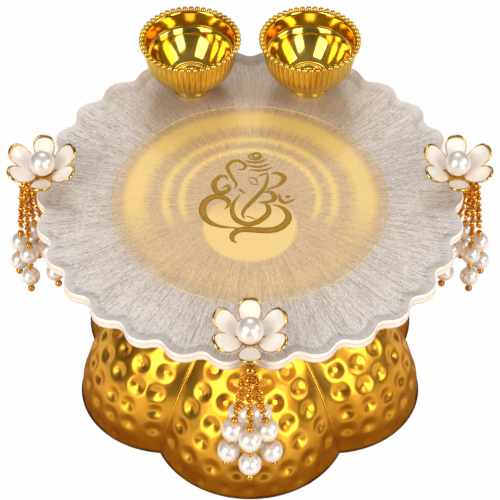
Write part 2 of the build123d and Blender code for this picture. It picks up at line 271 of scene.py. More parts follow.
class Nodes:
    """Adds nodes to one tree: a type, its settings, then its sockets' values or links."""

    def __init__(self, tree):
        self.tree = tree

    def add(self, kind, settings=None, sockets=None):
        node = self.tree.nodes.new(kind)
        for name, value in (settings or {}).items():
            setattr(node, name, value)
        for key, value in (sockets or {}).items():
            self.feed(node.inputs[key], value)
        return node

    def value(self, kind, settings=None, sockets=None, output=0):
        return Field(self, self.add(kind, settings, sockets).outputs[output])

    def feed(self, socket, value):
        if isinstance(value, Field):
            self.tree.links.new(value.socket, socket)
        else:
            socket.default_value = value

    def mix(self, share, first, second):
        """A colour between two colours."""
        pick = {0: share}
        for key, tint in ((6, first), (7, second)):
            pick[key] = tint if isinstance(tint, Field) else (*tint, 1)
        return self.value("ShaderNodeMix", {"data_type": "RGBA"}, pick, output=2)


class Paint(Nodes):
    """One material and its Principled shader."""

    def __init__(self, name, **sockets):
        self.material = bpy.data.materials.new(name)
        self.material.use_nodes = True
        super().__init__(self.material.node_tree)
        self.shader = next(node for node in self.tree.nodes if node.type == "BSDF_PRINCIPLED")
        self.set(**sockets)

    def set(self, **sockets):
        """Set or link the shader's sockets, named in lower case."""
        for name, value in sockets.items():
            socket = self.shader.inputs[name.replace("_", " ").title().replace("Ior", "IOR")]
            if socket.type == "RGBA" and not isinstance(value, Field):
                value = (*value, 1)
            self.feed(socket, value)

    def place(self):
        """Object coordinates, in metres."""
        return self.value("ShaderNodeTexCoord", output=3)

    def noise(self, scale, detail=3.0, vector=None):
        sockets = {"Scale": scale, "Detail": detail, "Vector": vector or self.place()}
        return self.value("ShaderNodeTexNoise", None, sockets)

    def bump(self, height, strength, distance):
        sockets = {"Height": height, "Strength": strength, "Distance": distance}
        self.set(normal=self.value("ShaderNodeBump", None, sockets))


def darker(tint, share):
    """A colour with its light cut to a share."""
    return tuple(part * share for part in tint)


def gold_paint(name, tint, roughness, wear_scale, deep=0.62):
    """Polished gold with cloudy tone, fine scratches and uneven gloss."""
    paint = Paint(name, metallic=1.0)
    cloud = paint.noise(wear_scale, 4.0)
    grain = paint.noise(wear_scale * 14, 2.0)
    shade = (tint[0] * deep, tint[1] * deep * 0.85, tint[2] * deep * 0.7)
    paint.set(base_color=paint.mix(cloud.step(0.30, 0.62), shade, tint))
    paint.set(roughness=roughness + 0.06 * cloud + 0.04 * grain)
    paint.bump(grain, 0.02, 0.0001)
    return paint.material


def pearl_paint(tint):
    """Pearl: a creamy, half metallic body with faint bands of nacre."""
    nacre_white = (0.97, 0.93, 0.89)
    paint = Paint("pearl_nacre", specular_ior_level=0.6)
    nacre = paint.noise(420)
    paint.set(base_color=paint.mix(nacre.step(0.35, 0.65), tint, nacre_white))
    paint.set(roughness=0.33 + 0.05 * nacre, metallic=0.52 + 0.08 * nacre)
    return paint.material


def enamel_paint(tint):
    """White enamel with a pearly cloud in it, under a hard gloss, and a faint painted glow of its own
    colour that lifts its shade.
    """
    cloud_white = (0.92, 0.87, 0.81)
    paint = Paint("petal_enamel", coat_weight=0.6, coat_roughness=0.10)
    # The emission is a painted glow that lightens the enamel where it falls into shade.
    paint.set(specular_ior_level=0.5, emission_strength=0.10)
    cloud = paint.noise(260, 4.0)
    body = paint.mix(cloud.step(0.30, 0.70), tint, cloud_white)
    paint.set(base_color=body, emission_color=body, roughness=0.25 + 0.16 * cloud)
    return paint.material


def resin_paint(settings):
    """The plate's cast edge: cream layers, a peach line between them, a painted highlight along the top and
    a faint painted glow.
    """
    painted_highlight_top = (0.93, 0.87, 0.80)
    peach_line = (0.86, 0.68, 0.50)
    amber_foot = (0.80, 0.60, 0.36)
    milky = (0.88, 0.82, 0.76)
    # The emission makes the resin glow faintly in its own colour: painted light.
    paint = Paint("cast_resin", coat_weight=1.0, coat_roughness=0.03, ior=1.49, emission_strength=0.06)
    height = paint.value("ShaderNodeSeparateXYZ", None, {0: paint.place()}, output=2)
    share = (height - PLATE_LOW.z) / (PLATE_HIGH.z - PLATE_LOW.z)
    cloud = paint.noise(90)
    # The whitening towards the top is a painted highlight.
    layered = paint.mix(share.step(0.66, 0.84), tuple(settings.resin), painted_highlight_top)
    layered = paint.mix(share.band(0.48, 0.13), layered, peach_line)
    layered = paint.mix(share.step(0.16, 0.0) * 0.7, layered, amber_foot)
    body = paint.mix(cloud.step(0.35, 0.75) * 0.2, layered, milky)
    paint.set(base_color=body, emission_color=body, roughness=0.06 + 0.08 * cloud)
    return paint.material


def fibre_paint(settings):
    """The inlay: radial silver fibres, a gold glow in rings in its middle, fine white specks painted as
    glints, a painted reflection and shade of the cups at the back and a painted highlight up the lip.
    """
    beige_shade = (0.44, 0.28, 0.10)
    beige_light = (0.76, 0.53, 0.25)
    streak_brown = (0.40, 0.25, 0.09)
    cup_reflection_shade_brown = (0.42, 0.29, 0.16)
    cool_silver = (0.80, 0.80, 0.83)
    lip_highlight_white = (0.88, 0.86, 0.86)
    painted_glint_white = (0.98, 0.95, 0.90)
    paint = Paint("fibre_inlay", coat_weight=0.35, coat_roughness=0.12, specular_ior_level=0.5)
    axes = paint.add("ShaderNodeSeparateXYZ", None, {0: paint.place()})
    across, along, height = (Field(paint, axis) for axis in axes.outputs)
    radius = (across * across + along * along) ** 0.5
    reach = radius + 1e-5
    side = across / reach
    front = along / reach

    def fibres(round_scale, out_scale):
        """Noise that is fine round the plate and long outwards from its centre."""
        spoke = {0: side * round_scale, 1: front * round_scale, 2: radius * out_scale}
        return paint.noise(1.0, vector=paint.value("ShaderNodeCombineXYZ", None, spoke))

    broad = fibres(round_scale=22, out_scale=26)
    fine = fibres(round_scale=110, out_scale=90)
    thread = fibres(round_scale=330, out_scale=420)
    grain = paint.noise(1500, 2.0)
    strand = broad * 0.15 + fine * 0.35 + thread * 0.50
    lines = strand.step(0.41, 0.55) * 0.68 + grain.step(0.35, 0.65) * 0.32
    silver = paint.mix(lines, tuple(settings.shade), tuple(settings.silver))

    # The gold middle, in shares of the foil circle's radius; the front is -1 and the back is 1
    uneven = (broad - 0.5) * 0.05
    ring = radius / settings.circle_radius + uneven
    beige = paint.mix(lines, beige_shade, beige_light)
    tinted = paint.mix(ring.step(1.02, 0.93) * 0.92, silver, beige)
    band = ring.step(0.70, 0.82) * ring.step(0.97, 0.88) * (0.12 + 0.88 * front.step(-0.65, 0.05))
    arcs = (ring.band(0.62, 0.055) * 0.9 + ring.band(0.50, 0.045)) * front.step(-0.62, -0.15)
    low = along + settings.disc_drop
    low = (across * across + low * low) ** 0.5 / settings.disc_radius + uneven
    disc = low.step(1.06, 0.94) * (0.10 + 0.95 * along.step(0.002, -0.014))
    glow = (band + arcs + disc) * (0.74 + 0.46 * lines)
    tinted = paint.mix(glow.math("MINIMUM", glow, 1.0), tinted, tuple(settings.glow))
    streak = ring.step(0.86, 0.98) * ring.step(1.10, 1.0) * thread.step(0.50, 0.60)
    tinted = paint.mix(streak * 0.45, tinted, streak_brown)

    # Outside the circle: a painted brown reflection and shade of the cups at the back, cool outer fibres
    # and a painted highlight on the climb to the lip
    back = front.step(0.55, 0.95) * ring.step(0.98, 1.12) * 0.75
    tinted = paint.mix(back, tinted, cup_reflection_shade_brown)
    tinted = paint.mix(ring.step(1.12, 1.42) * 0.35 * lines, tinted, cool_silver)
    climb = (height - FILM_HIGH.z) / (PLATE_HIGH.z - FILM_HIGH.z)
    # The whitening up the lip's slope is a painted highlight.
    tinted = paint.mix(climb.step(0.05, 0.50) * 0.6, tinted, lip_highlight_white)
    # The fine white specks are painted glints.
    glint_specks = paint.noise(2600, 1.0)
    paint.set(base_color=paint.mix(glint_specks.step(0.62, 0.72) * 0.7, tinted, painted_glint_white))
    paint.set(roughness=0.34 + 0.26 * fine, metallic=0.05 + 0.20 * lines)
    paint.bump(strand + grain * 0.4, 0.30, 0.0004)
    return paint.material


def foil_paint(name, tint):
    """Gold foil with a lightly brushed sheen."""
    paint = Paint(name, metallic=0.30, specular_ior_level=0.25)
    brush = paint.noise(700)
    paint.set(base_color=paint.mix(brush.step(0.35, 0.65), darker(tint, 0.75), tint))
    paint.set(roughness=0.30 + 0.20 * brush)
    return paint.material


def foam_paint():
    """Foam tape: pale, matt and finely pitted."""
    paint = Paint("foam_tape", specular_ior_level=0.2)
    cells = paint.noise(1800, 2.0)
    paint.set(base_color=paint.mix(cells, (0.66, 0.66, 0.64), (0.84, 0.84, 0.82)))
    paint.set(roughness=0.75 + 0.2 * cells)
    paint.bump(cells, 0.3, 0.0002)
    return paint.material


def grid_faces(rows, columns, wrap_rows=False):
    """Quads of closed rows of points, facing out when rows rise and columns turn left."""
    row = np.arange(rows if wrap_rows else rows - 1)[:, None]
    column = np.arange(columns)
    over = (row + 1) % rows
    beside = (column + 1) % columns
    low = row * columns
    high = over * columns
    corners = (low + column, low + beside, high + beside, high + column)
    return np.stack(corners, axis=-1).reshape(-1, 4)


def new_mesh(name, points, faces, sharp=40.0):
    """A smooth-shaded mesh, with edges over an angle left sharp, doubles merged and no loose ends."""
    mesh = bpy.data.meshes.new(name)
    mesh.from_pydata(np.asarray(points).reshape(-1, 3).tolist(), [], [list(face) for face in faces])
    work = bmesh.new()
    work.from_mesh(mesh)
    bmesh.ops.remove_doubles(work, verts=work.verts, dist=1e-7)
    bmesh.ops.dissolve_degenerate(work, edges=work.edges, dist=1e-8)
    work.to_mesh(mesh)
    work.free()
    mesh.shade_smooth()
    mesh.set_sharp_from_angle(angle=radians(sharp))
    return mesh


def joined(name, meshes, sharp=40.0):
    """Several point-and-face pairs as one mesh."""
    points = []
    faces = []
    for part_points, part_faces in meshes:
        start = len(points)
        points.extend(np.asarray(part_points).reshape(-1, 3).tolist())
        faces.extend([int(corner) + start for corner in face] for face in part_faces)
    return new_mesh(name, points, faces, sharp)


def capped(points):
    """Rows of points as a closed strip: its side faces and a face at both ends."""
    rows, columns = points.shape[:2]
    first = list(range(columns))[::-1]
    last = [columns * (rows - 1) + corner for corner in range(columns)]
    return points, [*grid_faces(rows, columns).tolist(), first, last]


def moved(points, matrix):
    """Points placed by a 4 by 4 matrix."""
    place = np.array(matrix)
    return np.asarray(points).reshape(-1, 3) @ place[:3, :3].T + place[:3, 3]


def placed(parts, matrix):
    """Point-and-face pairs placed by a 4 by 4 matrix."""
    return [(moved(points, matrix), faces) for points, faces in parts]


def add_piece(mesh, material, body, slot, *nodes):
    """Show a finished mesh: its material, its body and the nodes it stands for. The slot is not used."""
    mesh.materials.clear()
    mesh.materials.append(material)
    piece = bpy.data.objects.new(mesh.name, mesh)
    bpy.context.scene.collection.objects.link(piece)
    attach(piece, body)
    if nodes:
        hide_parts(*nodes)


def add_parts(name, parts, material, body, slot, *nodes):
    """Join point-and-face pairs into one piece and show it."""
    add_piece(joined(name, parts, 50), material, body, slot, *nodes)


def dress(node, material):
    """Give a node that stays in view its material."""
    for slot in frame["nodes"][node].material_slots:
        slot.material = material


def turns(columns):
    """Equal turns round a circle."""
    return np.arange(columns) * tau / columns


def level_row(reach, turn, height):
    """A row of points at one height, with a reach for each turn."""
    return np.stack([reach * np.cos(turn), reach * np.sin(turn), np.full(len(turn), height)], 1)


def turned(profile, columns, ripple=None):
    """Points of a profile of (radius, height) pairs turned about Z, with an optional ripple."""
    turn = turns(columns)
    rows = []
    for index, (radius, height) in enumerate(profile):
        reach = radius if ripple is None else radius + ripple(index, turn)
        rows.append(level_row(reach, turn, height))
    return np.array(rows)


def ball(radius, centre_height, columns, rows, hole=0.0):
    """A round bead on the Z axis, with a small drilled dimple at both ends where it has a hole."""
    start = atan2(hole, radius)
    lean = np.linspace(-pi / 2 + start, pi / 2 - start, rows)
    profile = [(radius * cos(a), centre_height + radius * sin(a)) for a in lean]
    if hole:
        depth = radius * 0.86
        profile = [(0, centre_height - depth)] + profile + [(0, centre_height + depth)]
    return turned(profile, columns), grid_faces(len(profile), columns)


def smooth_path(points, steps):
    """A smooth curve through a few points, with equal steps from each to the next."""
    knots = np.array(points, float)
    knots = np.vstack([2 * knots[:1] - knots[1:2], knots, 2 * knots[-1:] - knots[-2:-1]])
    share = np.linspace(0, 1, steps, endpoint=False)[:, None]
    samples = []
    for a, b, c, d in zip(knots, knots[1:], knots[2:], knots[3:]):
        square = 2 * a - 5 * b + 4 * c - d
        cube = 3 * b - a - 3 * c + d
        samples.append(0.5 * (2 * b + (c - a) * share + square * share**2 + cube * share**3))
    return np.vstack([*samples, knots[-2:-1]])


def tube(path, radii, sides, closed=False, flat_up=(0, 0, 1)):
    """A round tube along a path, with its ends drawn to a point unless it is closed."""
    path = np.asarray(path, float)
    if closed:
        heading = np.roll(path, -1, 0) - np.roll(path, 1, 0)
    else:
        heading = np.gradient(path, axis=0)
    heading /= np.linalg.norm(heading, axis=1)[:, None]
    side = np.cross(heading, np.array(flat_up, float))
    side /= np.linalg.norm(side, axis=1)[:, None]
    lift = np.cross(side, heading)
    turn = turns(sides)[:, None]
    reach = np.broadcast_to(radii, len(path))[:, None, None]
    rings = path[:, None] + reach * (np.cos(turn) * side[:, None] + np.sin(turn) * lift[:, None])
    if not closed:
        ends = [np.repeat(end[None, None], sides, 1) for end in (path[0], path[-1])]
        rings = np.vstack([ends[0], rings, ends[1]])
    return rings, grid_faces(len(rings), sides, wrap_rows=closed)


def node_piece(name, tree, start_mesh, values):
    """Run a geometry tree on a mesh with values for its inputs, and return a plain mesh."""
    carrier = bpy.data.objects.new(name, start_mesh)
    bpy.context.scene.collection.objects.link(carrier)
    modifier = carrier.modifiers.new(name, "NODES")
    modifier.node_group = tree
    for socket in tree.interface.items_tree:
        if socket.in_out == "INPUT" and socket.name in values:
            modifier[socket.identifier] = values[socket.name]
    graph = bpy.context.evaluated_depsgraph_get()
    made = bpy.data.meshes.new_from_object(carrier.evaluated_get(graph))
    carrier.modifiers.remove(modifier)
    bpy.data.objects.remove(carrier)
    made.name = name
    return made


def new_tree(name, **inputs):
    """A geometry tree with a mesh going in and out, and named inputs: name to socket type."""
    tree = bpy.data.node_groups.new(name, "GeometryNodeTree")
    tree.interface.new_socket("Geometry", in_out="INPUT", socket_type="NodeSocketGeometry")
    tree.interface.new_socket("Geometry", in_out="OUTPUT", socket_type="NodeSocketGeometry")
    for label, kind in inputs.items():
        tree.interface.new_socket(label.replace("_", " "), in_out="INPUT", socket_type="NodeSocket" + kind)
    nodes = Nodes(tree)
    source = nodes.add("NodeGroupInput")
    sockets = {socket.name: Field(nodes, socket) for socket in source.outputs if socket.name}
    return nodes, sockets


def close_tree(nodes, geometry, material):
    """End a tree: instances made real, smooth faces, and the material set."""
    real = nodes.value("GeometryNodeRealizeInstances", None, {0: geometry})
    smooth = nodes.value("GeometryNodeSetShadeSmooth", None, {0: real})
    done = nodes.value("GeometryNodeSetMaterial", None, {"Geometry": smooth, "Material": material})
    nodes.add("NodeGroupOutput", None, {0: done})
    return nodes.tree


# The foot's profile: shares of the dome's height, then heights and radii of the neck in millimetres
DOME_SHARES = (0, 0.17, 0.33, 0.48, 0.60, 0.70, 0.79)
NECK_PROFILE = ((62.0, 50.3), (69.0, 46.0), (80.0, 43.5), (92.0, 44.5), (102.0, 48.0))


def distances(points):
    """Distance along a path to each of its points."""
    return np.concatenate([[0], np.cumsum(np.linalg.norm(np.diff(points, axis=0), axis=1))])


class FootForm:
    """The foot's outer surface: arcs in plan that meet at the creases, on a domed and waisted profile."""

    def __init__(self, settings):
        self.settings = settings
        self.half = pi / settings.lobes
        self.height = FOOT_HIGH.z
        tips = []
        creases = []
        for share in DOME_SHARES:
            narrowing = sqrt(1 - share**2)
            tips.append((FOOT_HIGH.y * narrowing, share * settings.dome_height))
            creases.append((settings.crease_radius * narrowing, share * settings.dome_height))
        for height, radius in (*NECK_PROFILE, (self.height / MM, settings.deck_tip / MM)):
            tips.append((radius * MM, height * MM))
            creases.append((radius * MM - settings.neck_lobe, height * MM))
        self.tip_path = smooth_path(tips, 16)
        self.crease_path = smooth_path(creases, 16)

    def radius(self, turn, height):
        """Radius at a turn from a lobe's middle and at a height."""
        tip = np.interp(height, self.tip_path[:, 1], self.tip_path[:, 0])
        crease = np.interp(height, self.crease_path[:, 1], self.crease_path[:, 0])
        centre = (tip**2 - crease**2) / (2 * (tip - crease * cos(self.half)))
        return centre * np.cos(turn) + np.sqrt((tip - centre) ** 2 - (centre * np.sin(turn)) ** 2)

    def spread(self, bearing, height):
        """A bearing moved so that the front lobe is wide at the floor and slim at the neck."""
        settings = self.settings
        climb = np.clip(height / settings.dome_height, 0, 1)
        sway = settings.front_spread + (settings.front_gather - settings.front_spread) * climb
        from_front = (bearing + pi / 2 + pi) % tau - pi
        return bearing + np.where(np.abs(from_front) < pi / 2, sway * np.sin(2 * from_front), 0)

    def point(self, lobe, turn, height):
        """A point on a lobe, the first lobe in front."""
        bearing = float(self.spread(-pi / 2 + lobe * 2 * self.half + turn, height))
        reach = float(self.radius(turn, height))
        return (reach * cos(bearing), reach * sin(bearing), height)

    def ring(self, height, inset, columns):
        """One closed row of points at a height."""
        bearing = turns(columns) - pi / 2
        turn = (bearing + pi / 2 + self.half) % (2 * self.half) - self.half
        reach = self.radius(turn, height) - inset
        return level_row(reach, self.spread(bearing, height), height)

    def levels(self, low, high, rows):
        """Heights from low to high at equal steps along the profile."""
        climb = distances(self.tip_path)
        ends = np.interp((low, high), self.tip_path[:, 1], climb)
        return np.interp(np.linspace(*ends, rows), climb, self.tip_path[:, 1])

    def dent_centres(self, seed):
        """Centres of the hammer dents: staggered rows on each lobe, a little uneven."""
        settings = self.settings
        margin = 6 * MM
        uneven = settings.dent_pitch * 0.05
        chance = np.random.default_rng(seed)
        across = np.linspace(-self.half, self.half, 200)
        row_count = int(distances(self.tip_path)[-1] / settings.row_pitch)
        centres = []
        for row, height in enumerate(self.levels(margin, self.height - margin, row_count)):
            along = distances([self.point(0, turn, height) for turn in across])
            along -= along[-1] / 2
            half_count = ceil(along[-1] / settings.dent_pitch)
            for step in range(-half_count, half_count + 1):
                place = (step + 0.5 * (row % 2)) * settings.dent_pitch
                if abs(place) > along[-1] - settings.crease_border:
                    continue
                for lobe in range(settings.lobes):
                    slip = chance.normal(0, uneven, 2)
                    turn = float(np.interp(place + slip[0], along, across))
                    centres.append(self.point(lobe, turn, height + slip[1] * 0.7))
        return centres


def hammer_tree():
    """Dents round the points of another object, pressed in along the surface's normal."""
    nodes, sockets = new_tree(
        "hammer_dents", Centres="Object", Radius="Float", Depth="Float", Lip="Float", Finish="Material"
    )
    centres = nodes.value("GeometryNodeObjectInfo", None, {"Object": sockets["Centres"]}, output=4)
    near = nodes.add("GeometryNodeProximity", {"target_element": "POINTS"}, {0: centres})
    share = Field(nodes, near.outputs["Distance"]) / sockets["Radius"]
    inside = share.step(1.0, 0.0)
    edge = share.band(1.12, 0.30)
    mask = nodes.value("GeometryNodeInputNamedAttribute", None, {"Name": "hammered"})
    press = (edge * sockets["Lip"] - inside * sockets["Depth"]) * mask
    normal = nodes.value("GeometryNodeInputNormal")
    offset = nodes.value("ShaderNodeVectorMath", {"operation": "SCALE"}, {0: normal, "Scale": press})
    shift = {"Geometry": sockets["Geometry"], "Offset": offset}
    pressed = nodes.value("GeometryNodeSetPosition", None, shift)
    return close_tree(nodes, pressed, sockets["Finish"])


def foot_sheet(form, settings):
    """The foot's sheet before hammering: rim, outside, deck and inside as one closed skin."""
    columns = settings.lobes * 106
    edge = settings.wall / 3
    top = form.height
    underside = top - settings.wall
    rim = [form.ring(height, 0.0, columns) for height in (0.0, 1.5 * edge)]
    outside = [form.ring(height, 0.0, columns) for height in form.levels(3 * edge, top - 3 * edge, 118)]
    deck = [form.ring(top - edge, 0.0, columns), form.ring(top, edge, columns)]
    turn = turns(columns) - pi / 2
    deck += [level_row(settings.deck_opening, turn, height) for height in (top, underside)]
    inner_levels = form.levels(0.0, underside, 22)[::-1]
    inside = [form.ring(height, settings.wall, columns) for height in inner_levels]
    rows = np.array(rim + outside + deck + inside)
    hammered = np.zeros(rows.shape[:2])
    hammered[len(rim) : len(rim) + len(outside)] = 1
    mesh = bpy.data.meshes.new("foot_sheet")
    faces = grid_faces(len(rows), columns, wrap_rows=True)
    mesh.from_pydata(rows.reshape(-1, 3).tolist(), [], faces.tolist())
    mask = mesh.attributes.new("hammered", "FLOAT", "POINT")
    mask.data.foreach_set("value", hammered.ravel().tolist())
    return mesh


def welt_parts(form, settings):
    """The double line that runs up each crease, with a groove between its two beads."""
    half = settings.welt_width / 2
    bead = [(-1.0, -0.30), (-0.80, 0.22), (-0.50, 0.32), (-0.20, 0.10), (0.0, -0.12)]
    section = bead + [(-across, rise) for across, rise in reversed(bead[:-1])]
    section += [(-0.7, -0.9), (0.7, -0.9)]
    heights = form.levels(0.6 * MM, form.height - 1 * MM, 70)
    parts = []
    for lobe in range(settings.lobes):
        path = np.array([form.point(lobe, form.half, height) for height in heights])
        bearing = np.arctan2(path[:, 1], path[:, 0])
        side = np.stack([np.sin(bearing), -np.cos(bearing), np.zeros(len(path))], 1)
        out = np.cross(np.gradient(path, axis=0), side)
        out /= np.linalg.norm(out, axis=1)[:, None]
        rows = [path + half * (across * side + rise * out) for across, rise in section]
        parts.append(capped(np.stack(rows, axis=1)))
    return parts


class THALI_OT_foot(Operator):
    """Build the hammered foot, its crease lines, its cap and its foam pads"""

    bl_idname = "thali.foot"
    bl_label = "Build foot"

    def execute(self, context):
        settings = context.scene.thali_foot
        form = FootForm(settings)
        tint = tuple(settings.gold)
        gold = gold_paint("hammered_gold", tint, 0.24, 60, 0.80)
        cloud = bpy.data.meshes.new("dent_centres")
        cloud.from_pydata(form.dent_centres(seed=7), [], [])
        centres = bpy.data.objects.new("dent_centres", cloud)
        context.scene.collection.objects.link(centres)
        values = {"Centres": centres, "Radius": settings.dent_radius, "Depth": settings.dent_depth}
        values.update({"Lip": settings.dent_lip, "Finish": gold})
        foot = node_piece("foot_hammered_shell", hammer_tree(), foot_sheet(form, settings), values)
        bpy.data.objects.remove(centres)
        add_piece(foot, gold, BODY, "hammered_gold", "base_shell")
        plain = gold_paint("crease_gold", darker(tint, 0.8), 0.20, 90, 0.5)
        welts = joined("foot_crease_welts", welt_parts(form, settings), 60)
        add_piece(welts, plain, BODY, "hammered_gold")
        # The hem is the foot's edge on the floor as a thin tube; its very dark gold is painted shade where
        # the foot meets the floor.
        hem_radius = 0.6 * MM
        hem = tube(form.ring(hem_radius, 0.0, settings.lobes * 60), hem_radius, 8, closed=True)
        contact_shade_gold = gold_paint("hem_bronze", darker(tint, 0.28), 0.30, 120, 0.5)
        add_piece(joined("foot_hem", [hem]), contact_shade_gold, BODY, "hammered_gold")
        dress("base_cap", plain)
        dress("adhesive_pads", foam_paint())
        return {"FINISHED"}


# The plate's lip, from its underside up and in: shares of its width inwards and of its rise
LIP_SECTION = (
    (0.55, 0.0), (0.25, 0.015), (0.07, 0.06), (0.0, 0.15), (0.0, 0.40), (0.035, 0.445),
    (0.06, 0.47), (0.035, 0.495), (0.0, 0.54), (0.0, 0.68), (0.04, 0.77), (0.12, 0.825),
    (0.20, 0.84), (0.29, 0.80), (0.50, 0.68), (0.70, 0.58),
)


def scallop(turn, settings):
    """Radius of the scalloped edge: wide humps and short valleys, a little further out at the back."""
    tip = PLATE_HIGH.x
    pitch = tau / settings.scallops
    depth = settings.scallop_depth
    place = np.abs((turn + pitch / 2) % pitch - pitch / 2) / pitch
    hump_end = 1 / 3
    hump = tip - 2 / 3 * depth * (place / hump_end) ** 2
    valley = tip - depth + 1 / 3 * depth * ((place - 0.5) / (0.5 - hump_end)) ** 2
    ease = np.clip(1.4 * np.sin(turn), 0, 1)
    swell = settings.back_swell * ease**2 * (3 - 2 * ease)
    return np.where(place < hump_end, hump, valley) + swell


def scalloped_mesh(name, settings, columns_a_scallop, section):
    """A disc with a scalloped edge, from its middle below to its middle above.

    Its section holds distances inwards from the edge, and heights.
    """
    columns = settings.scallops * columns_a_scallop
    turn = turns(columns)
    edge = scallop(turn, settings)
    rows = [level_row(0 * edge, turn, section[0][1])]
    rows += [level_row(edge - inwards, turn, height) for inwards, height in section]
    rows.append(level_row(0 * edge, turn, section[-1][1]))
    return new_mesh(name, np.array(rows), grid_faces(len(rows), columns), 50)


class THALI_OT_plate(Operator):
    """Build the clear plate with its rounded, layered lip"""

    bl_idname = "thali.plate"
    bl_label = "Build plate"

    def execute(self, context):
        settings = context.scene.thali_plate
        width = settings.lip_width
        rise = PLATE_HIGH.z - PLATE_LOW.z
        section = [(inwards * width, PLATE_LOW.z + share * rise) for inwards, share in LIP_SECTION]
        section.append((width, FILM_LOW.z))
        mesh = scalloped_mesh("plate_resin", settings, 30, section)
        add_piece(mesh, resin_paint(settings), BODY, "clear_plate", "plate")
        return {"FINISHED"}


def ribbon(path, half_widths, base, height):
    """A thin raised strip along a path in plan, with sloping sides and pointed ends."""
    heading = np.gradient(path, axis=0)
    heading /= np.linalg.norm(heading, axis=1)[:, None]
    side = np.stack([heading[:, 1], -heading[:, 0]], 1)
    section = ((1.0, 0.0), (0.85, 0.8), (0.35, 1.0), (-0.35, 1.0), (-0.85, 0.8), (-1.0, 0.0))
    rows = []
    for across, rise in section:
        flat = path + side * half_widths[:, None] * across
        rows.append(np.column_stack([flat, np.full(len(path), base + rise * height)]))
    return capped(np.stack(rows, axis=1))


# Strokes of the figure, in millimetres from the plate's centre: half width, then points
FIGURE_STROKES = (
    (0.75, (4.6, 27.6), (2.4, 27.0), (1.2, 28.6), (2.6, 30.2), (4.8, 29.2), (4.6, 26.6),
     (2.0, 25.8), (-0.6, 27.6), (0.6, 30.0)),
    (0.75, (-2.2, 25.0), (1.0, 23.9), (4.8, 24.2), (8.0, 26.2)),
    (0.75, (-1.2, 21.8), (2.4, 20.9), (6.0, 21.2), (9.4, 23.0)),
    (0.75, (-0.2, 18.9), (3.6, 18.3), (7.4, 18.7), (10.6, 20.4)),
    (0.95, (-5.9, 19.0), (-3.4, 19.2), (-2.3, 22.2), (-6.6, 25.1), (-10.8, 21.0), (-8.2, 13.0),
     (-6.4, 9.0), (-7.4, 5.8)),
    (1.30, (-10.6, 12.2), (-11.6, 14.4), (-14.3, 14.2), (-17.0, 9.8), (-15.9, 4.4), (-13.0, 3.2),
     (-10.0, 5.6), (-10.4, 8.2), (-13.4, 6.2)),
    (1.75, (-11.8, -7.5), (-9.8, -4.0), (-11.4, -0.6), (-16.3, 1.0), (-21.0, -2.8), (-22.0, -9.4),
     (-19.4, -14.9), (-14.2, -18.2), (-5.8, -19.5)),
    (1.45, (-4.6, 2.0), (-7.4, -2.8), (-8.3, -8.4), (-6.2, -14.2), (-0.8, -17.0), (4.4, -14.8),
     (8.2, -10.4), (8.6, -6.4), (7.2, -3.6), (4.2, -2.8)),
    (1.20, (6.0, 3.6), (9.6, 3.9), (11.6, 0.6), (9.8, -2.2), (4.2, -2.8)),
    (1.05, (8.3, 16.8), (8.3, 12.4), (6.6, 6.4), (2.0, -0.8), (-2.4, -7.2), (-3.4, -11.0),
     (-2.4, -13.6)),
    (0.50, (4.2, 14.4), (6.2, 15.6), (8.3, 16.4)),
    (0.35, (-2.2, -11.8), (0.4, -12.6), (2.8, -14.2)),
    (0.38, (-1.0, 13.4), (2.4, 12.8), (3.9, 8.8)),
    (0.34, (-0.8, 12.0), (1.2, 9.2), (3.9, 8.8)),
    (0.70, (-5.6, 5.4), (-4.2, 4.8), (-2.4, 2.8)),
    (1.15, (10.0, 15.8), (13.0, 16.6), (16.2, 13.4), (13.8, 8.6), (7.8, 5.4)),
    (1.00, (13.8, 2.8), (14.2, -1.2), (16.8, -3.1), (21.2, -0.8)),
    (0.95, (17.0, 0.0), (17.8, 1.0), (18.8, 0.4)),
    (1.85, (10.8, -4.4), (14.8, -6.2), (17.6, -10.4), (17.2, -15.0), (13.4, -19.4), (7.6, -20.9),
     (-3.4, -20.3), (-7.7, -23.2), (-8.0, -26.8), (-6.2, -28.6)),
)


